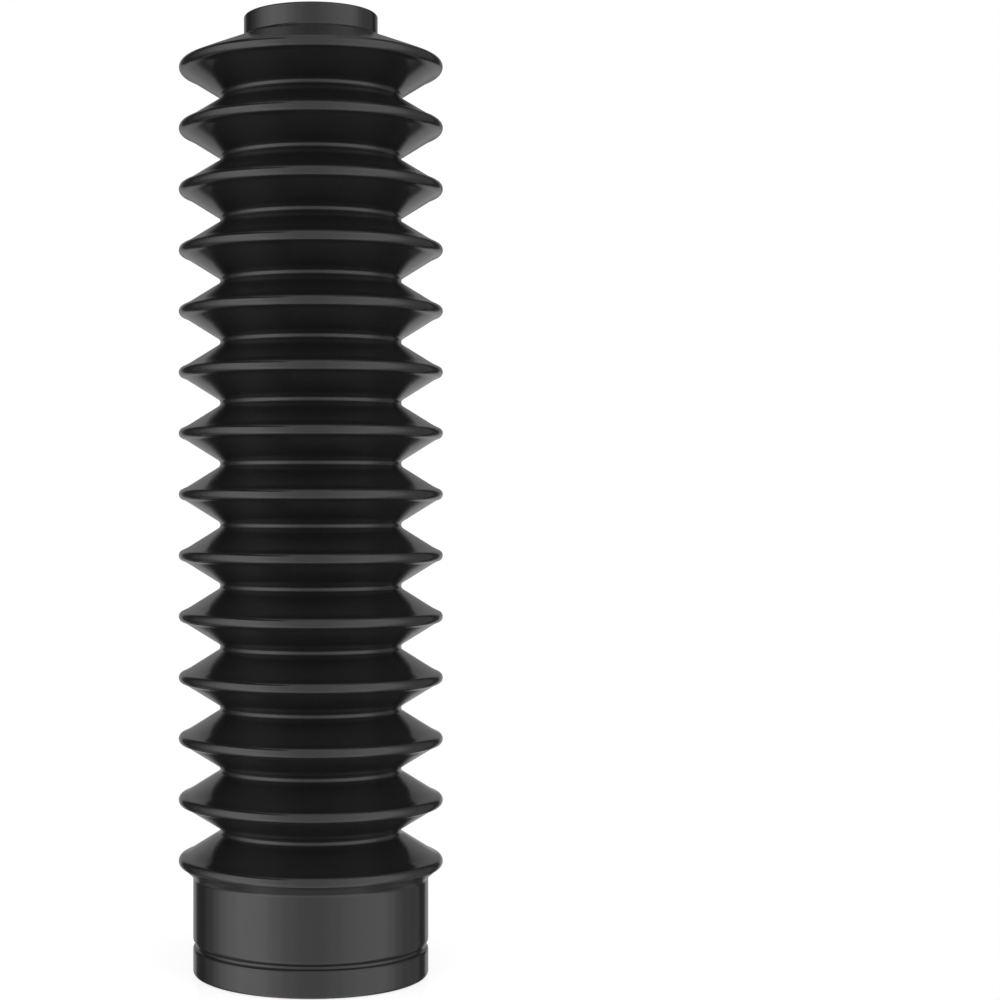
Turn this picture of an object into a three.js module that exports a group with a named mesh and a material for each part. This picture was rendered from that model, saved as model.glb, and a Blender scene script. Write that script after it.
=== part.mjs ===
// A fork gaiter: one rubber moulding with fourteen round folds between a wide cuff and a narrow neck.
// Millimetres, +Z up the axis. The origin is the centre of the cuff's open end.
// The whole wall is one closed outline, turned about the axis.
import * as THREE from 'three';

// Folds
const FOLD_COUNT = 14;
const FOLD_PITCH = 16;
const FOLD_WALL = 2;
const CREST_RADIUS = 34.7;
const VALLEY_RADIUS = 23.8;
const CREST_ROUND = 1;
const CREST_INSIDE_ROUND = 0.5;
const VALLEY_ROUND = 1.1;

// Cuff, which fits over the lower fork leg
const CUFF_RADIUS = 30.9;
const CUFF_WALL = 2.5;
const CUFF_HEIGHT = 25.55;
const CUFF_TO_CREST = 3.9;
const CUFF_EDGE_ROUND = 0.8;

// Clamp groove round the cuff, with a steep lower side and a flatter upper side
const GROOVE_LEVEL = 7.65;
const GROOVE_DEPTH = 0.8;
const GROOVE_FLOOR = 0.55;
const GROOVE_BELOW = 0.55;
const GROOVE_ABOVE = 1.1;

// Neck, which grips the fork tube
const NECK_RADIUS = 17.6;
const NECK_WALL = 2.5;
const NECK_HEIGHT = 5.7;
const NECK_TO_CREST = 7.9;
const NECK_EDGE_ROUND = 0.5;

// Small round in the corner where a flank meets the cuff or the neck
const CORNER_ROUND = 0.7;

// Flat sides round the axis
const SIDES = 32;

const firstCrest = CUFF_HEIGHT + CUFF_TO_CREST;
const lastCrest = firstCrest + (FOLD_COUNT - 1) * FOLD_PITCH;
const neckFoot = lastCrest + NECK_TO_CREST;
const topEnd = neckFoot + NECK_HEIGHT;

// Centres of the rounds, and slopes of the flanks from the horizontal
const crestCentre = CREST_RADIUS - CREST_ROUND;
const valleyCentre = VALLEY_RADIUS + VALLEY_ROUND;
const foldSlope = flankSlope(crestCentre - valleyCentre, FOLD_PITCH / 2, CREST_ROUND + VALLEY_ROUND);
const cuffSlope = flankSlope(crestCentre - CUFF_RADIUS, CUFF_TO_CREST, CREST_ROUND);
const neckSlope = flankSlope(crestCentre - NECK_RADIUS, NECK_TO_CREST, CREST_ROUND);

/** Slope of the straight flank that touches rounds of this total radius at its two ends. */
function flankSlope(across, up, rounds) {
  return Math.atan2(up, across) - Math.asin(rounds / Math.hypot(across, up));
}

/** One corner of the outline before it is rounded. */
function corner(radius, height, round, steps) {
  return { at: new THREE.Vector2(radius, height), round, steps };
}

/** Crest between flanks of these two slopes; its round keeps its tip on the crest radius. */
function crestCorner(height, below, above) {
  const reach = CREST_ROUND / Math.sin((below + above) / 2);
  const lean = (below - above) / 2;
  const radius = crestCentre + reach * Math.cos(lean);
  return corner(radius, height + reach * Math.sin(lean), CREST_ROUND, 3);
}

/** Valley between two fold flanks; its round keeps its tip on the valley radius. */
function valleyCorner(height) {
  return corner(valleyCentre - VALLEY_ROUND / Math.sin(foldSlope), height, VALLEY_ROUND, 2);
}

/** Corners of the outer surface, from the cuff's open end up to the neck's. */
function outerCorners() {
  const corners = [corner(CUFF_RADIUS, 0, CUFF_EDGE_ROUND, 2)];
  corners.push(corner(CUFF_RADIUS, CUFF_HEIGHT, CORNER_ROUND, 1));
  for (let i = 0; i < FOLD_COUNT; i++) {
    const height = firstCrest + i * FOLD_PITCH;
    if (i > 0) corners.push(valleyCorner(height - FOLD_PITCH / 2));
    const below = i === 0 ? cuffSlope : foldSlope;
    const above = i === FOLD_COUNT - 1 ? neckSlope : foldSlope;
    corners.push(crestCorner(height, below, above));
  }
  corners.push(corner(NECK_RADIUS, neckFoot, CORNER_ROUND, 1));
  corners.push(corner(NECK_RADIUS, topEnd, NECK_EDGE_ROUND, 2));
  return corners;
}

/** Wall thickness of the stretch between outer corner i and the next one. */
function wallOf(i, count) {
  if (i === 0) return CUFF_WALL;
  return i === count - 2 ? NECK_WALL : FOLD_WALL;
}

/** Point where two stretches meet once each is moved inwards by its own wall. */
function insidePoint(before, at, after, wallBefore, wallAfter) {
  const u = at.clone().sub(before).normalize();
  const v = after.clone().sub(at).normalize();
  const p = new THREE.Vector2(-u.y, u.x).multiplyScalar(wallBefore).add(at);
  const q = new THREE.Vector2(-v.y, v.x).multiplyScalar(wallAfter).add(at);
  const along = q.clone().sub(p).cross(v) / u.cross(v);
  return p.addScaledVector(u, along);
}

/** Round of an inside corner: tight behind a crest, one wall wider behind a valley. */
function insideRound(before, at, after, round) {
  const turnsIn = at.clone().sub(before).cross(after.clone().sub(at)) > 0;
  return turnsIn ? CREST_INSIDE_ROUND : round + FOLD_WALL;
}

/** Corners of the inner surface, from the neck's open end down to the cuff's. */
function innerCorners(outer) {
  const count = outer.length;
  const corners = [corner(outer[0].at.x - CUFF_WALL, 0, 0, 0)];
  for (let i = 1; i < count - 1; i++) {
    const [before, at, after] = [outer[i - 1].at, outer[i].at, outer[i + 1].at];
    const point = insidePoint(before, at, after, wallOf(i - 1, count), wallOf(i, count));
    const round = insideRound(before, at, after, outer[i].round);
    corners.push(corner(point.x, point.y, round, round > CREST_INSIDE_ROUND ? 2 : 1));
  }
  corners.push(corner(outer[count - 1].at.x - NECK_WALL, topEnd, 0, 0));
  return corners.reverse();
}

/** Points of a corner's round, or the corner itself where it is sharp. */
function roundPoints(before, { at, round, steps }, after) {
  if (round === 0) return [at];
  const u = before.clone().sub(at).normalize();
  const v = after.clone().sub(at).normalize();
  const half = Math.acos(THREE.MathUtils.clamp(u.dot(v), -1, 1)) / 2;
  const centre = u.clone().add(v).normalize().multiplyScalar(round / Math.sin(half)).add(at);
  const start = u.multiplyScalar(round / Math.tan(half)).add(at).sub(centre);
  const sweep = (Math.PI - 2 * half) * Math.sign(start.clone().cross(at.clone().sub(centre)));
  return Array.from({ length: steps + 1 }, (_, i) => {
    return start.clone().rotateAround(new THREE.Vector2(), (sweep * i) / steps).add(centre);
  });
}

/** Points of the clamp groove, from its lower edge to its upper edge. */
function groovePoints() {
  const floor = CUFF_RADIUS - GROOVE_DEPTH;
  const [low, high] = [GROOVE_LEVEL - GROOVE_FLOOR / 2, GROOVE_LEVEL + GROOVE_FLOOR / 2];
  return [
    new THREE.Vector2(CUFF_RADIUS, low - GROOVE_BELOW),
    new THREE.Vector2(floor, low),
    new THREE.Vector2(floor, high),
    new THREE.Vector2(CUFF_RADIUS, high + GROOVE_ABOVE),
  ];
}

/** The closed outline of the wall, from the cuff's outer edge round and back to it. */
function wallOutline() {
  const outer = outerCorners();
  const corners = [...outer, ...innerCorners(outer)];
  const points = [];
  corners.forEach((here, i) => {
    const before = corners[(i + corners.length - 1) % corners.length].at;
    const after = corners[(i + 1) % corners.length].at;
    points.push(...roundPoints(before, here, after));
    if (i === 0) points.push(...groovePoints());
  });
  return [...points, points[0]];
}

const rubber = new THREE.MeshStandardMaterial({ color: 0x232323, roughness: 0.5, metalness: 0 });
const shape = new THREE.LatheGeometry(wallOutline(), SIDES);
shape.rotateX(Math.PI / 2);

const gaiter = new THREE.Mesh(shape, rubber);
gaiter.name = 'gaiter';

const group = new THREE.Group();
group.name = 'fork_gaiter';
group.add(gaiter);
export default group;
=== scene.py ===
# %% [markdown]
# # A rubber fork gaiter
#
# This lesson builds the bellows that covers the fork tube of a motorbike. The real one is a single
# rubber moulding: a wide cuff at the bottom, a row of even folds, and a short neck at the top.
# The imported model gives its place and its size. The lesson gives it smooth rounds, a real wall and
# the satin black skin of moulded rubber.

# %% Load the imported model
import math
from collections import namedtuple

import bmesh
import bpy
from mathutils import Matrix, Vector


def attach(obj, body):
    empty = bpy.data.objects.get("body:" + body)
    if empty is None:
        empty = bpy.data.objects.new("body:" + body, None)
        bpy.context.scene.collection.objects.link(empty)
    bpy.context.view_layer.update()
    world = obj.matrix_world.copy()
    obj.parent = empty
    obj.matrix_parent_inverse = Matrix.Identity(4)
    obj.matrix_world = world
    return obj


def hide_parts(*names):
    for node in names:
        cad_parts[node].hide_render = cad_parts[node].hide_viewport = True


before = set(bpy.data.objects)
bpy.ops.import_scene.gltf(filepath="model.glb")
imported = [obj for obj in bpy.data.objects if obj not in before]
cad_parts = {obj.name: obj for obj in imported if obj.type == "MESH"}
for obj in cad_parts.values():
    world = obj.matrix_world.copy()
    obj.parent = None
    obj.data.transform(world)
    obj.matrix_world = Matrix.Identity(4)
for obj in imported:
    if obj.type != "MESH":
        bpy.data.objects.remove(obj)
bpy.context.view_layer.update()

# %% [markdown]
# ## The camera
#
# The photograph is taken level, from in front of the gaiter and at the height of its middle. The rings
# of the crests open into ellipses towards both ends of the picture, and how fast they open tells how
# near the camera stood. The gaiter stands to the left of the picture's middle without leaning, so the
# picture was framed by sliding it, and not by turning the camera. The camera's shift does the same.

# %% Place the camera
PICTURE_SIDE = 1000
DISTANCE_IN_PIXELS = 2043
EYE_HEIGHT_IN_PIXELS = 472.5
GAITER_COLUMN = 310.8
EYE_ROW = 498.5

PIXEL = 0.0002632
SENSOR_WIDTH = 36
CAMERA_DISTANCE = DISTANCE_IN_PIXELS * PIXEL
EYE_HEIGHT = EYE_HEIGHT_IN_PIXELS * PIXEL
NEAREST_SEEN = 0.01
FARTHEST_SEEN = 20

bpy.ops.object.select_all(action="DESELECT")
bpy.ops.object.camera_add(location=(0, -CAMERA_DISTANCE, EYE_HEIGHT), rotation=(math.pi / 2, 0, 0))
camera = bpy.context.object
camera.name = "camera"
camera.data.sensor_width = SENSOR_WIDTH
camera.data.lens = SENSOR_WIDTH * DISTANCE_IN_PIXELS / PICTURE_SIDE
camera.data.shift_x = (PICTURE_SIDE / 2 - GAITER_COLUMN) / PICTURE_SIDE
camera.data.shift_y = (EYE_ROW - PICTURE_SIDE / 2) / PICTURE_SIDE
camera.data.clip_start = NEAREST_SEEN
camera.data.clip_end = FARTHEST_SEEN
bpy.context.scene.camera = camera
print("camera", round(CAMERA_DISTANCE, 4), "m in front of the axis, lens", round(camera.data.lens, 1), "mm")

# %% [markdown]
# ## The section of the wall
#
# A gaiter is turned all round its axis, so half of its section says everything about its shape. The
# section could be drawn as a long list of points. Here it is a short list of sharp corners, each with
# the radius of its round, because that is how a mould is dimensioned. The third number of a corner is
# how many steps its round is drawn in. Sizes are in millimetres.

# %% Sizes of the folds, the cuff and the neck
MM = 0.001
Corner = namedtuple("Corner", "at round steps")

FOLD_COUNT = 14
FOLD_PITCH = 16
FOLD_WALL = 2
CREST_RADIUS = 34.7
CREST_ROUND = 1
CREST_STEPS = 8
VALLEY_RADIUS = 23.8
VALLEY_ROUND = 1.1
VALLEY_STEPS = 6

CUFF_RADIUS = 30.9
CUFF_WALL = 2.5
CUFF_HEIGHT = 25.55
CUFF_TO_CREST = 3.9
CUFF_EDGE_ROUND = 0.8
CUFF_EDGE_STEPS = 5
CUFF_CORNER_ROUND = 1.4
CUFF_CORNER_STEPS = 6

NECK_RADIUS = 17.6
NECK_WALL = 2.5
NECK_HEIGHT = 5.7
NECK_TO_CREST = 7.9
NECK_EDGE_ROUND = 0.5
NECK_CORNER_ROUND = 0.7
NECK_STEPS = 4

FIRST_CREST = CUFF_HEIGHT + CUFF_TO_CREST
LAST_CREST = FIRST_CREST + (FOLD_COUNT - 1) * FOLD_PITCH
NECK_FOOT = LAST_CREST + NECK_TO_CREST
TOP_END = NECK_FOOT + NECK_HEIGHT
print("the gaiter is", round(TOP_END, 2), "mm long and", 2 * CREST_RADIUS, "mm across its crests")

# %% [markdown]
# The flanks are straight. Each one touches the round of a crest and the round of a valley, so its slope
# from the horizontal follows from where those two rounds are. The lowest flank starts at the cuff and
# the highest one ends at the neck, so these two have slopes of their own.

# %% Slopes of the flanks
CREST_CENTRE = CREST_RADIUS - CREST_ROUND
VALLEY_CENTRE = VALLEY_RADIUS + VALLEY_ROUND


def flank_slope(across, up, rounds):
    """Slope of a straight flank that touches rounds of this total radius at its two ends."""
    return math.atan2(up, across) - math.asin(rounds / math.hypot(across, up))


FOLD_SLOPE = flank_slope(CREST_CENTRE - VALLEY_CENTRE, FOLD_PITCH / 2, CREST_ROUND + VALLEY_ROUND)
CUFF_SLOPE = flank_slope(CREST_CENTRE - CUFF_RADIUS, CUFF_TO_CREST, CREST_ROUND)
NECK_SLOPE = flank_slope(CREST_CENTRE - NECK_RADIUS, NECK_TO_CREST, CREST_ROUND)
for flank, slope in (("fold", FOLD_SLOPE), ("cuff", CUFF_SLOPE), ("neck", NECK_SLOPE)):
    print(flank, "flank slopes", round(math.degrees(slope), 1), "degrees")

# %% [markdown]
# The sharp corner of a crest or a valley is where its two flanks would meet. It lies past the tip of the
# round, and how far past follows from the slopes. Working it out like this keeps the tip itself on
# the crest radius or the valley radius, where the real gaiter would be measured.

# %% Corners of the crests and valleys
def crest_corner(height, below, above, crest_round=CREST_ROUND):
    """Sharp corner of a crest between flanks of these two slopes."""
    reach = crest_round / math.sin((below + above) / 2)
    lean = (below - above) / 2
    along, up = reach * math.cos(lean), reach * math.sin(lean)
    return Corner(Vector((CREST_RADIUS - crest_round + along, height + up)), crest_round, CREST_STEPS)


def valley_corner(height):
    """Sharp corner of a valley between two fold flanks."""
    at = Vector((VALLEY_CENTRE - VALLEY_ROUND / math.sin(FOLD_SLOPE), height))
    return Corner(at, VALLEY_ROUND, VALLEY_STEPS)


print("a fold's crest comes to a point at radius", round(crest_corner(0, FOLD_SLOPE, FOLD_SLOPE).at.x, 2))
print("a fold's valley comes to a point at radius", round(valley_corner(0).at.x, 2))

# %% [markdown]
# ## The nose of a crest
#
# The crests aren't plain rounds between straight flanks. Close to its tip each flank flattens a little,
# more from below than from above, and that small nose makes the band of light along every fold. The
# nose has a larger round, and a soft foot where it runs into the flank. One corner with a still larger
# round would be simpler, but it would make the whole tip blunt.

# %% Feet of the nose
NOSE_ROUND = 1.5
NOSE_TURN_BELOW = math.radians(14)
NOSE_TURN_ABOVE = math.radians(8)
FOOT_ROUND_BELOW = 5
FOOT_ROUND_ABOVE = 12
FOOT_STEPS = 2
BELOW, ABOVE = -1, 1


def cross(u, v):
    """Cross product of two flat vectors."""
    return u.x * v.y - u.y * v.x


def meeting_point(p, u, q, v):
    """Where the line through p along u meets the line through q along v."""
    return p + u * (cross(q - p, v) / cross(u, v))


def nose_foot(side, slope, turn, crest, nose):
    """Where the flank on one side of a crest meets the nose, whose side is flatter by the turn."""
    flank = Vector((-math.cos(slope), side * math.sin(slope)))
    nose_side = Vector((-math.cos(slope - turn), side * math.sin(slope - turn)))
    return meeting_point(crest.at, flank, nose.at, nose_side)


print("the nose's round is", NOSE_ROUND / CREST_ROUND, "times a plain crest's")

# %% [markdown]
# The long shoulder between the highest crest and the neck has no foot. It is slightly domed instead,
# which shows as a soft change of grey under the neck. One more corner with a very large round does
# that: the corner stands a quarter of a millimetre outside the straight flank.

# %% Crests with a nose
SHOULDER_DOME = 0.25
DOME_PLACE = 0.35
DOME_ROUND = 40
DOME_STEPS = 12


def shoulder_dome(crest):
    """Corner that raises the long shoulder between the highest crest and the neck."""
    on_flank = crest.at.lerp(Vector((NECK_RADIUS, NECK_FOOT)), DOME_PLACE)
    out = Vector((math.sin(NECK_SLOPE), math.cos(NECK_SLOPE)))
    return Corner(on_flank + out * SHOULDER_DOME, DOME_ROUND, DOME_STEPS)


def nosed_crest(height, below, above):
    """A crest with its nose, the foot below it, and the foot or the domed shoulder above it."""
    crest = crest_corner(height, below, above)
    if above == NECK_SLOPE:
        nose = crest_corner(height, below - NOSE_TURN_BELOW, above, NOSE_ROUND)
        upper = shoulder_dome(crest)
    else:
        nose = crest_corner(height, below - NOSE_TURN_BELOW, above - NOSE_TURN_ABOVE, NOSE_ROUND)
        foot_above = nose_foot(ABOVE, above, NOSE_TURN_ABOVE, crest, nose)
        upper = Corner(foot_above, FOOT_ROUND_ABOVE, FOOT_STEPS)
    foot_below = nose_foot(BELOW, below, NOSE_TURN_BELOW, crest, nose)
    return [Corner(foot_below, FOOT_ROUND_BELOW, FOOT_STEPS), nose, upper]


print("corners in a crest with a nose:", len(nosed_crest(FIRST_CREST, CUFF_SLOPE, FOLD_SLOPE)))

# %% [markdown]
# ## The two surfaces
#
# The outer surface runs from the cuff's open end up to the neck's. It is listed twice, once with the
# noses and once with plain crests. The noses are only on the outside, so the inner surface is worked
# out from the plain crests.

# %% Corners of the outer surface
def plain_crest(height, below, above):
    """A crest as one corner."""
    return [crest_corner(height, below, above)]


def outer_corners(crest_corners):
    """Corners of the outer surface without the groove, with every crest from the given function."""
    corners = [Corner(Vector((CUFF_RADIUS, 0)), CUFF_EDGE_ROUND, CUFF_EDGE_STEPS)]
    corners.append(Corner(Vector((CUFF_RADIUS, CUFF_HEIGHT)), CUFF_CORNER_ROUND, CUFF_CORNER_STEPS))
    for i in range(FOLD_COUNT):
        height = FIRST_CREST + i * FOLD_PITCH
        if i > 0:
            corners.append(valley_corner(height - FOLD_PITCH / 2))
        below = CUFF_SLOPE if i == 0 else FOLD_SLOPE
        above = NECK_SLOPE if i == FOLD_COUNT - 1 else FOLD_SLOPE
        corners.extend(crest_corners(height, below, above))
    corners.append(Corner(Vector((NECK_RADIUS, NECK_FOOT)), NECK_CORNER_ROUND, NECK_STEPS))
    corners.append(Corner(Vector((NECK_RADIUS, TOP_END)), NECK_EDGE_ROUND, NECK_STEPS))
    return corners


plain_outer = outer_corners(plain_crest)
nosed_outer = outer_corners(nosed_crest)
print(len(plain_outer), "outer corners, and", len(nosed_outer), "with the noses")

# %% [markdown]
# The inner surface could come from a Solidify modifier, but a crest's round is smaller than the wall is
# thick, so the inside of each crest would cross itself. Instead each flank is moved inwards by its own
# wall, and the inner corners are where the moved flanks meet: tight behind a crest, and wide behind a
# valley.

# %% Corners of the inner surface
CREST_INSIDE_ROUND = 0.5
CREST_INSIDE_STEPS = 2
VALLEY_INSIDE_STEPS = 4
BORE_EDGE_ROUND = 0.3
BORE_EDGE_STEPS = 3


def wall_after(i):
    """Wall between outer corner i and the next one."""
    if i == 0:
        return CUFF_WALL
    return NECK_WALL if i == len(plain_outer) - 2 else FOLD_WALL


def inner_corner(i):
    """Inner corner behind outer corner i."""
    before, here, after = plain_outer[i - 1:i + 2]
    u, v = (here.at - before.at).normalized(), (after.at - here.at).normalized()
    p = here.at + Vector((-u.y, u.x)) * wall_after(i - 1)
    q = here.at + Vector((-v.y, v.x)) * wall_after(i)
    at = meeting_point(p, u, q, v)
    if cross(u, v) > 0:
        return Corner(at, CREST_INSIDE_ROUND, CREST_INSIDE_STEPS)
    return Corner(at, here.round + FOLD_WALL, VALLEY_INSIDE_STEPS)


inner = [inner_corner(i) for i in range(1, len(plain_outer) - 1)]
cuff_bore_edge = Corner(Vector((CUFF_RADIUS - CUFF_WALL, 0)), BORE_EDGE_ROUND, BORE_EDGE_STEPS)
neck_bore_edge = Corner(Vector((NECK_RADIUS - NECK_WALL, TOP_END)), BORE_EDGE_ROUND, BORE_EDGE_STEPS)
print(len(inner) + 2, "inner corners")

# %% [markdown]
# A clamp or a cable tie sits in a groove near the cuff's lower edge. It could be cut out of the cuff
# later, but it is simpler as four more corners in the cuff's straight side: two at its lips and two on
# its floor, all of them rounded by the mould. Its lower side is steep and its upper side flatter.

# %% Corners of the clamp groove
GROOVE_LEVEL = 7.65
GROOVE_DEPTH = 0.8
GROOVE_FLOOR = 0.55
GROOVE_BELOW = 0.55
GROOVE_ABOVE = 1.1
GROOVE_LIP_ROUND = 0.8
GROOVE_LIP_STEPS = 4
GROOVE_FLOOR_ROUND = 0.3
GROOVE_FLOOR_STEPS = 3


def groove_corners():
    """The groove's corners, from its lower lip to its upper lip."""
    floor_radius = CUFF_RADIUS - GROOVE_DEPTH
    low, high = GROOVE_LEVEL - GROOVE_FLOOR / 2, GROOVE_LEVEL + GROOVE_FLOOR / 2
    return [
        Corner(Vector((CUFF_RADIUS, low - GROOVE_BELOW)), GROOVE_LIP_ROUND, GROOVE_LIP_STEPS),
        Corner(Vector((floor_radius, low)), GROOVE_FLOOR_ROUND, GROOVE_FLOOR_STEPS),
        Corner(Vector((floor_radius, high)), GROOVE_FLOOR_ROUND, GROOVE_FLOOR_STEPS),
        Corner(Vector((CUFF_RADIUS, high + GROOVE_ABOVE)), GROOVE_LIP_ROUND, GROOVE_LIP_STEPS),
    ]


section = [nosed_outer[0], *groove_corners(), *nosed_outer[1:]]
section += [neck_bore_edge, *reversed(inner), cuff_bore_edge]
print(len(section), "corners round the whole section")

# %% [markdown]
# ## Drawing the section
#
# The section is drawn with a pen. The pen is one vertex: a plane merged to its centre. Extruding the
# vertex draws a straight line, and spinning it about the centre of a round draws an arc. A Bevel would
# round the corners too, but it bends a sharp corner into part of an ellipse, and a mould has true arcs.

# %% Pen helpers
def put_pen(point):
    """Starts a new mesh with the pen at this point of the section."""
    bpy.ops.object.select_all(action="DESELECT")
    bpy.ops.mesh.primitive_plane_add(size=MM, location=(0, 0, 0))
    bpy.ops.object.mode_set(mode="EDIT")
    bpy.ops.mesh.select_all(action="SELECT")
    bpy.ops.mesh.merge(type="CENTER")
    bpy.ops.transform.translate(value=(point.x * MM, 0, point.y * MM))


def draw_step(start, end):
    """Extrudes the pen from start to end in one straight edge."""
    step = (end - start) * MM
    bpy.ops.mesh.extrude_vertices_move(TRANSFORM_OT_translate={"value": (step.x, 0, step.y)})


def draw_arc(centre, sweep, steps):
    """Spins the pen about the centre of a round."""
    centre = (centre.x * MM, 0, centre.y * MM)
    bpy.ops.mesh.spin(steps=steps, angle=sweep, center=centre, axis=(0, 1, 0))


print("the pen draws in the plane of X and Z")

# %% [markdown]
# Smooth shading blends the directions of the faces that meet at an edge. Where an arc meets a long
# flank, that blend would run over the whole flank and make it look hollow. So a line gets an extra
# point close to each of its ends, which keeps the blend in the narrow strip beside the arc.

# %% Rounds and lines
SHADING_STRIP = 0.12
SHORT_LINE = 4 * SHADING_STRIP


def round_of(i):
    """Start, centre, sweep and end of the round at corner i of the section."""
    here = section[i]
    u = (section[i - 1].at - here.at).normalized()
    v = (section[(i + 1) % len(section)].at - here.at).normalized()
    half = u.angle(v) / 2
    centre = here.at + (u + v).normalized() * (here.round / math.sin(half))
    set_back = here.round / math.tan(half)
    start, end = here.at + u * set_back, here.at + v * set_back
    sweep = (math.pi - 2 * half) * math.copysign(1, cross(start - centre, end - centre))
    return start, centre, sweep, end


def draw_line(start, end):
    """Draws a straight line, with a point close to each end unless it is short."""
    strip = (end - start).normalized() * SHADING_STRIP
    if (end - start).length < SHORT_LINE:
        draw_step(start, end)
        return
    draw_step(start, start + strip)
    draw_step(start + strip, end - strip)
    draw_step(end - strip, end)


rounds = [round_of(i) for i in range(len(section))]
largest_turn = max(abs(sweep) for _, _, sweep, _ in rounds)
print(len(rounds), "rounds; the largest turns through", round(math.degrees(largest_turn)), "degrees")

# %% [markdown]
# The pen goes once round the wall: up the outside, over the neck's end, down the inside, and back
# along the cuff's open end. Its last point lands on its first, so the doubles are merged, and that
# closes the section.

# %% Draw the whole section
MERGE_DISTANCE = 0.005 * MM

put_pen(rounds[0][0])
for i, (start, centre, sweep, end) in enumerate(rounds):
    draw_arc(centre, sweep, section[i].steps)
    draw_line(end, rounds[(i + 1) % len(rounds)][0])
bpy.ops.mesh.select_all(action="SELECT")
bpy.ops.mesh.remove_doubles(threshold=MERGE_DISTANCE)
print("points in the section:", len(bmesh.from_edit_mesh(bpy.context.edit_object.data).verts))

# %% [markdown]
# ## Turning the section
#
# Spin sweeps the closed section once round the axis, as a mould is turned on a lathe. The last step
# lands on the first, so the doubles are merged. The normals are then recalculated to point out of the
# rubber, which also means out into the bore on the inside of the wall.

# %% Spin it round the axis
TURN_STEPS = 156
SHARP_ANGLE = math.radians(40)

bpy.ops.mesh.select_all(action="SELECT")
bpy.ops.mesh.spin(steps=TURN_STEPS, angle=2 * math.pi, center=(0, 0, 0), axis=(0, 0, 1))
bpy.ops.mesh.select_all(action="SELECT")
bpy.ops.mesh.remove_doubles(threshold=MERGE_DISTANCE)
bpy.ops.mesh.normals_make_consistent(inside=False)
bpy.ops.object.mode_set(mode="OBJECT")
gaiter = bpy.context.object
gaiter.name = "rubber_gaiter"
gaiter.data.name = "rubber_gaiter"
bpy.ops.object.shade_smooth_by_angle(angle=SHARP_ANGLE)
print("faces in", gaiter.name, len(gaiter.data.polygons))

# %% [markdown]
# A turned shape can have an open seam or point inside out without looking wrong. Its volume would then
# be nonsense or negative, so the volume and the open edges are a quick proof of a sound wall.

# %% Measure the wall
CM3_IN_M3 = 1e6


def measure(piece):
    """Volume in cubic centimetres, open edges and triangles of a piece."""
    mesh = bmesh.new()
    mesh.from_mesh(piece.data)
    volume = mesh.calc_volume(signed=True) * CM3_IN_M3
    open_edges = sum(not edge.is_manifold for edge in mesh.edges)
    triangles = sum(len(face.verts) - 2 for face in mesh.faces)
    mesh.free()
    return round(volume, 1), open_edges, triangles


print("volume cm3, open edges, triangles:", measure(gaiter))

# %% [markdown]
# ## Rubber
#
# The gaiter is carbon-black rubber from a polished steel mould: nearly black, with a satin skin whose
# highlights are soft but clear. Up close the skin has a very fine grain, and its gloss varies a little.
# Both walls of the moulding share that grain, so it is a node group with named inputs.

# %% The grain of a moulded skin
def new_group(name, inputs, outputs):
    """A shader node group with these named sockets."""
    group = bpy.data.node_groups.new(name, "ShaderNodeTree")
    for socket, kind, value in inputs:
        made = group.interface.new_socket(socket, in_out="INPUT", socket_type=kind)
        made.default_value = value
    for socket, kind in outputs:
        group.interface.new_socket(socket, in_out="OUTPUT", socket_type=kind)
    return group


def add_node(tree, kind, **values):
    """A node of this kind, with its properties or input sockets set by name."""
    node = tree.nodes.new(kind)
    for key, value in values.items():
        if hasattr(node, key):
            setattr(node, key, value)
        else:
            node.inputs[key.replace("_", " ")].default_value = value
    return node


grain = new_group(
    "moulded_skin",
    [
        ("Colour", "NodeSocketColor", (0.02, 0.02, 0.02, 1)),
        ("Roughness", "NodeSocketFloat", 0.4),
        ("Gloss variation", "NodeSocketFloat", 0.05),
        ("Grain height", "NodeSocketFloat", 0.00002),
    ],
    [("Colour", "NodeSocketColor"), ("Roughness", "NodeSocketFloat"), ("Normal", "NodeSocketVector")],
)
print("node group", grain.name, "with", len(grain.interface.items_tree), "sockets")

# %% [markdown]
# Three noises make the skin. A fine one is the grain in the Bump node. A broad one, with spots a little
# wider than a fold, is the slow change of gloss that release agent and handling leave. A middle one
# breaks up the colour, because carbon black is never mixed quite evenly. All of them read Object
# coordinates, so they stay on the rubber.

# %% Noises and the bump
GRAIN_SCALE, GRAIN_DETAIL = 2200, 2
GLOSS_SCALE, GLOSS_DETAIL = 45, 3
COLOUR_SCALE, COLOUR_DETAIL = 260, 4

links = grain.links
skin_values = add_node(grain, "NodeGroupInput")
skin_results = add_node(grain, "NodeGroupOutput")
place = add_node(grain, "ShaderNodeTexCoord")
fine = add_node(grain, "ShaderNodeTexNoise", Scale=GRAIN_SCALE, Detail=GRAIN_DETAIL)
broad = add_node(grain, "ShaderNodeTexNoise", Scale=GLOSS_SCALE, Detail=GLOSS_DETAIL)
middle = add_node(grain, "ShaderNodeTexNoise", Scale=COLOUR_SCALE, Detail=COLOUR_DETAIL)
for noise in (fine, broad, middle):
    links.new(place.outputs["Object"], noise.inputs["Vector"])

bump = add_node(grain, "ShaderNodeBump", Strength=1)
links.new(skin_values.outputs["Grain height"], bump.inputs["Distance"])
links.new(fine.outputs["Fac"], bump.inputs["Height"])
links.new(bump.outputs["Normal"], skin_results.inputs["Normal"])
for use, scale in (("grain", GRAIN_SCALE), ("colour", COLOUR_SCALE), ("gloss", GLOSS_SCALE)):
    print("spots in the", use, "are about", round(1 / scale / MM, 1), "mm wide")

# %% [markdown]
# The broad noise is moved to lie evenly round zero before it changes the gloss, so that the roughness
# of the material stays what it says on average. The middle noise makes the colour a few per cent
# darker or lighter.

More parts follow.
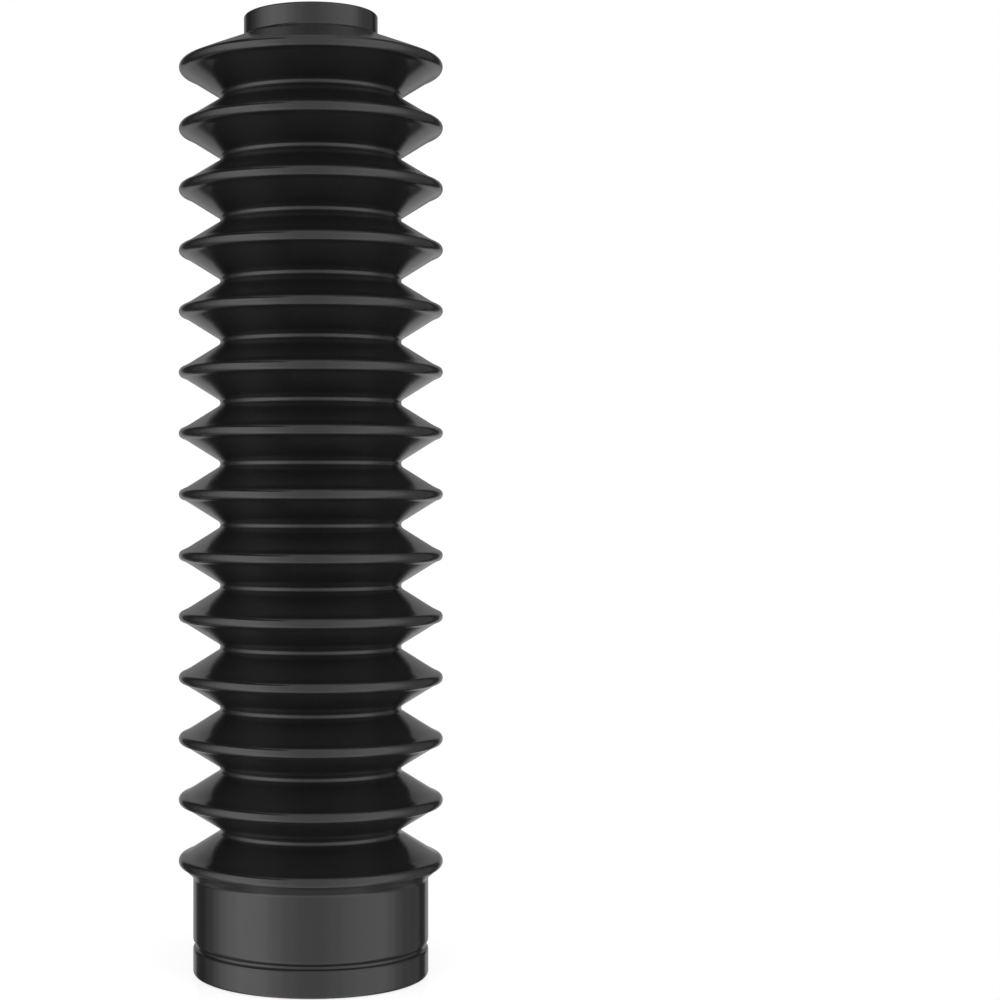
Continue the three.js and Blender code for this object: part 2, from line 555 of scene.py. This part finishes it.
# %% Gloss and colour of the skin
MIDDLE_OF_NOISE = 0.5
COLOUR_CHANGE = 0.12

centred = add_node(grain, "ShaderNodeMath", operation="SUBTRACT")
centred.inputs[1].default_value = MIDDLE_OF_NOISE
links.new(broad.outputs["Fac"], centred.inputs[0])
change = add_node(grain, "ShaderNodeMath", operation="MULTIPLY_ADD")
links.new(centred.outputs[0], change.inputs[0])
links.new(skin_values.outputs["Gloss variation"], change.inputs[1])
links.new(skin_values.outputs["Roughness"], change.inputs[2])
links.new(change.outputs[0], skin_results.inputs["Roughness"])

shade = add_node(grain, "ShaderNodeMapRange", To_Min=1 - COLOUR_CHANGE, To_Max=1 + COLOUR_CHANGE)
links.new(middle.outputs["Fac"], shade.inputs["Value"])
tint = add_node(grain, "ShaderNodeMix", data_type="RGBA", blend_type="MULTIPLY")
tint.inputs["Factor"].default_value = 1
links.new(skin_values.outputs["Colour"], tint.inputs["A"])
links.new(shade.outputs["Result"], tint.inputs["B"])
links.new(tint.outputs["Result"], skin_results.inputs["Colour"])
print("nodes in", grain.name, len(grain.nodes))

# %% [markdown]
# The outside was formed by the polished cavity, and the inside by a plainer core, so the bore is a
# little duller. Each finish is a material of its own round the same group.

# %% The two rubber finishes
RUBBER_IOR = 1.6


def rubber(name, grey, roughness, gloss_variation, grain_height):
    """A black rubber with the moulded skin."""
    colour = (grey, grey, grey, 1)
    material = bpy.data.materials.new(name)
    material.use_nodes = True
    material.diffuse_color = colour
    tree = material.node_tree
    surface = tree.nodes["Principled BSDF"]
    surface.inputs["IOR"].default_value = RUBBER_IOR
    skin = add_node(tree, "ShaderNodeGroup", node_tree=grain)
    skin.inputs["Colour"].default_value = colour
    skin.inputs["Roughness"].default_value = roughness
    skin.inputs["Gloss variation"].default_value = gloss_variation
    skin.inputs["Grain height"].default_value = grain_height
    tree.links.new(skin.outputs["Colour"], surface.inputs["Base Color"])
    tree.links.new(skin.outputs["Roughness"], surface.inputs["Roughness"])
    tree.links.new(skin.outputs["Normal"], surface.inputs["Normal"])
    gaiter.data.materials.append(material)


rubber("satin_rubber", grey=0.0115, roughness=0.18, gloss_variation=0.04, grain_height=0.000002)
rubber("core_rubber", grey=0.013, roughness=0.35, gloss_variation=0.08, grain_height=0.000006)
print("finishes:", [material.name for material in gaiter.data.materials])

# %% [markdown]
# The bore's faces are found by their direction: all over the inner wall the normal looks towards the
# axis. The flat ends look neither in nor out, so a face has to look inwards a little before it counts,
# and the ends keep the finish of the outside.

# %% Give the bore its finish
LOOKS_INWARDS = -0.02
CORE_FINISH = 1

bore_faces = 0
for face in gaiter.data.polygons:
    outward = Vector((face.center.x, face.center.y, 0)).normalized()
    if face.normal.dot(outward) < LOOKS_INWARDS:
        face.material_index = CORE_FINISH
        bore_faces += 1
print("faces in the bore:", bore_faces)

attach(gaiter, "root")
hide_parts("gaiter")

# %% [markdown]
# ## The studio
#
# The gaiter stands on a plain white table top, which keeps the soft shadow under the cuff. The table
# and the room behind it are white to the camera only. More lamps could make them white as well, but
# black rubber shows whatever is round it, and a white room would turn it grey. For the same reason the
# table isn't mirrored in the rubber, and it casts no shadow, so that the tall lamps also reach the
# undersides of the folds.

# %% Floor
FLOOR_LEVEL = -0.0002
FLOOR_RADIUS = 0.14
FLOOR_SIDES = 128
FLOOR_GREY = 0.65
FLOOR_ROUGHNESS = 0.25
FLOOR_GLOW = 0.75
WHITE = (1, 1, 1, 1)

white_floor = bpy.data.materials.new("white_floor")
white_floor.use_nodes = True
floor_surface = white_floor.node_tree.nodes["Principled BSDF"]
floor_surface.inputs["Base Color"].default_value = (FLOOR_GREY, FLOOR_GREY, FLOOR_GREY, 1)
floor_surface.inputs["Roughness"].default_value = FLOOR_ROUGHNESS
floor_surface.inputs["Emission Color"].default_value = WHITE
floor_path = add_node(white_floor.node_tree, "ShaderNodeLightPath")
floor_glow = add_node(white_floor.node_tree, "ShaderNodeMath", operation="MULTIPLY")
floor_glow.inputs[1].default_value = FLOOR_GLOW
white_floor.node_tree.links.new(floor_path.outputs["Is Camera Ray"], floor_glow.inputs[0])
white_floor.node_tree.links.new(floor_glow.outputs[0], floor_surface.inputs["Emission Strength"])

bpy.ops.object.select_all(action="DESELECT")
bpy.ops.mesh.primitive_circle_add(
    vertices=FLOOR_SIDES, radius=FLOOR_RADIUS, fill_type="NGON", location=(0, 0, FLOOR_LEVEL)
)
floor = bpy.context.object
floor.name = "floor"
floor.visible_glossy = False
floor.visible_shadow = False
floor.data.materials.append(white_floor)
print("table top:", FLOOR_RADIUS * 2, "m across")

# %% [markdown]
# Two white cards stand well behind the gaiter, one below the camera's level and one above it. They
# aren't there to be seen, but to show as pale patches at the ends of the folds, where the flanks turn
# edge-on to the camera. A lamp there would do too, but a card's glow can change from place to place:
# each card is dim in its middle, because that is what the crests' outlines mirror, and they are dark.

# %% The glow of a card
def card_material(name, glows):
    """A material that glows by place across the card, from 0 at its left to 1 at its right."""
    material = bpy.data.materials.new(name)
    material.use_nodes = True
    tree = material.node_tree
    surface = tree.nodes["Principled BSDF"]
    surface.inputs["Base Color"].default_value = (0, 0, 0, 1)
    surface.inputs["Emission Strength"].default_value = 1
    place_on_card = add_node(tree, "ShaderNodeTexCoord")
    across = add_node(tree, "ShaderNodeSeparateXYZ")
    from_left = add_node(tree, "ShaderNodeMath", operation="ADD")
    from_left.inputs[1].default_value = 0.5
    grade = add_node(tree, "ShaderNodeValToRGB")
    stops = grade.color_ramp.elements
    while len(stops) < len(glows):
        stops.new(0.5)
    for stop, (place_across, glow) in zip(stops, glows):
        stop.position = place_across
        stop.color = (glow, glow, glow, 1)
    tree.links.new(place_on_card.outputs["Object"], across.inputs["Vector"])
    tree.links.new(across.outputs["X"], from_left.inputs[0])
    tree.links.new(from_left.outputs[0], grade.inputs["Fac"])
    tree.links.new(grade.outputs["Color"], surface.inputs["Emission Color"])
    return material


print("a card's glow is graded from its left edge to its right edge")

# %% [markdown]
# The cards' size sets how far round the gaiter the patches reach. The lower card ends half a metre
# below the table, because a longer one would put a spot of light on the cuff's upper corner.

# %% Put up the cards
CARD_DISTANCE = 1.3
CARD_WIDTH = 1.6
LOWER_CARD_BOTTOM = -0.5
UPPER_CARD_TOP = 1.6
LOWER_GLOWS = ((0, 0.42), (0.42, 0.43), (0.5, 0.17), (0.58, 0.5), (1, 0.52))
UPPER_GLOWS = ((0, 0.3), (0.22, 0.38), (0.38, 0.23), (0.5, 0.08), (0.62, 0.24), (0.8, 0.32), (1, 0.3))


def white_card(name, bottom, top, glows):
    """An upright card behind the gaiter, seen only in its reflections."""
    bpy.ops.object.select_all(action="DESELECT")
    bpy.ops.mesh.primitive_plane_add(
        size=1, location=(0, CARD_DISTANCE, (bottom + top) / 2), rotation=(math.pi / 2, 0, 0)
    )
    card = bpy.context.object
    card.name = name
    card.scale = (CARD_WIDTH, top - bottom, 1)
    card.visible_camera = False
    card.data.materials.append(card_material(name, glows))


white_card("lower_card", LOWER_CARD_BOTTOM, EYE_HEIGHT, LOWER_GLOWS)
white_card("upper_card", EYE_HEIGHT, UPPER_CARD_TOP, UPPER_GLOWS)
print("cards:", CARD_WIDTH, "m wide, from", LOWER_CARD_BOTTOM, "m up to", UPPER_CARD_TOP, "m")

# %% [markdown]
# ## The light
#
# Black rubber shows its lamps rather than its colour, so the lamps are what the photograph's bands of
# grey are made of. Upright panels stand round the gaiter. A few large lamps would be simpler, but many
# narrow ones can be graded, as the grey on the folds is. A panel's power grows with its area, so that
# the number that is chosen for it is its brightness as the rubber mirrors it.

# %% An upright panel
PANEL_DISTANCE = 1.2
PANEL_BOTTOM = -2.3


def panel(first, last, top, radiance):
    """An upright lamp between two azimuths, in degrees to the right of the camera."""
    middle, half = math.radians((first + last) / 2), math.radians((last - first) / 2)
    out = Vector((math.sin(middle), -math.cos(middle), 0))
    centre = out * PANEL_DISTANCE + Vector((0, 0, (PANEL_BOTTOM + top) / 2))
    bpy.ops.object.light_add(type="AREA", location=centre)
    lamp = bpy.context.object
    lamp.name = f"panel_{first}_{last}"
    lamp.rotation_euler = (-out).to_track_quat("-Z", "Y").to_euler()
    lamp.data.shape = "RECTANGLE"
    lamp.data.size = 2 * PANEL_DISTANCE * math.tan(half)
    lamp.data.size_y = top - PANEL_BOTTOM
    lamp.data.energy = radiance * math.pi * lamp.data.size * lamp.data.size_y
    lamp.visible_camera = False


print("panels stand", PANEL_DISTANCE, "m from the axis")

# %% [markdown]
# The panels are brightest on the left, a little weaker on the right, weaker still in front, and they
# fade towards the back. They are very tall, because the crests are lit from above and from below alike.
# The last two are low ones at the back, which light only the undersides.

# %% Set up the ring of panels
LEFT_TOP, FRONT_TOP, RIGHT_TOP, LOW_TOP = 1.2, 2.5, 2.0, -0.6
PANELS = (
    (-122, -108, LEFT_TOP, 0.15),
    (-108, -98, LEFT_TOP, 0.45),
    (-98, -88, LEFT_TOP, 0.85),
    (-88, -76, LEFT_TOP, 1.2),
    (-76, -42, LEFT_TOP, 1.5),
    (-42, -28, LEFT_TOP, 1.15),
    (-28, -14, FRONT_TOP, 0.87),
    (-14, 16, FRONT_TOP, 0.69),
    (16, 30, FRONT_TOP, 0.85),
    (30, 44, RIGHT_TOP, 1.02),
    (44, 78, RIGHT_TOP, 1.15),
    (78, 88, RIGHT_TOP, 0.88),
    (88, 98, RIGHT_TOP, 0.5),
    (98, 112, RIGHT_TOP, 0.3),
    (112, 130, RIGHT_TOP, 0.2),
    (-150, -122, LOW_TOP, 0.2),
    (130, 150, LOW_TOP, 0.2),
)

for first, last, top, radiance in PANELS:
    panel(first, last, top, radiance)
print("panels:", len(PANELS))

# %% [markdown]
# One round lamp far below and one far above close the ring of panels, so that the faces that look up or
# down have something to mirror.

# %% Lamps below and above
UNDER_LIGHT = 0.8
OVER_LIGHT = 0.55


def round_lamp(name, height, tilt, radiance):
    """A round lamp, as wide as the ring of panels, straight above or below the gaiter."""
    bpy.ops.object.light_add(type="AREA", location=(0, 0, height), rotation=(tilt, 0, 0))
    lamp = bpy.context.object
    lamp.name = name
    lamp.data.shape = "DISK"
    lamp.data.size = 2 * PANEL_DISTANCE
    area = math.pi * PANEL_DISTANCE ** 2
    lamp.data.energy = radiance * math.pi * area
    lamp.visible_camera = False


round_lamp("under_light", PANEL_BOTTOM, math.pi, UNDER_LIGHT)
round_lamp("over_light", FRONT_TOP, 0, OVER_LIGHT)
print("lamps:", len(bpy.data.lights))

# %% [markdown]
# The room itself is the world. Light Path tells the camera's own rays from all others, so the room can
# be white in the picture and nearly dark to the rubber.

# %% The white room
ROOM_TO_CAMERA = 1
ROOM_TO_RUBBER = 0.05

world = bpy.data.worlds.new("white_room")
bpy.context.scene.world = world
world.use_nodes = True
background = world.node_tree.nodes["Background"]
background.inputs["Color"].default_value = WHITE
world_path = add_node(world.node_tree, "ShaderNodeLightPath")
room = add_node(world.node_tree, "ShaderNodeMapRange", To_Min=ROOM_TO_RUBBER, To_Max=ROOM_TO_CAMERA)
world.node_tree.links.new(world_path.outputs["Is Camera Ray"], room.inputs["Value"])
world.node_tree.links.new(room.outputs["Result"], background.inputs["Strength"])
bpy.context.scene.view_settings.view_transform = "Standard"
print("the room is", ROOM_TO_CAMERA, "to the camera and", ROOM_TO_RUBBER, "to the rubber")
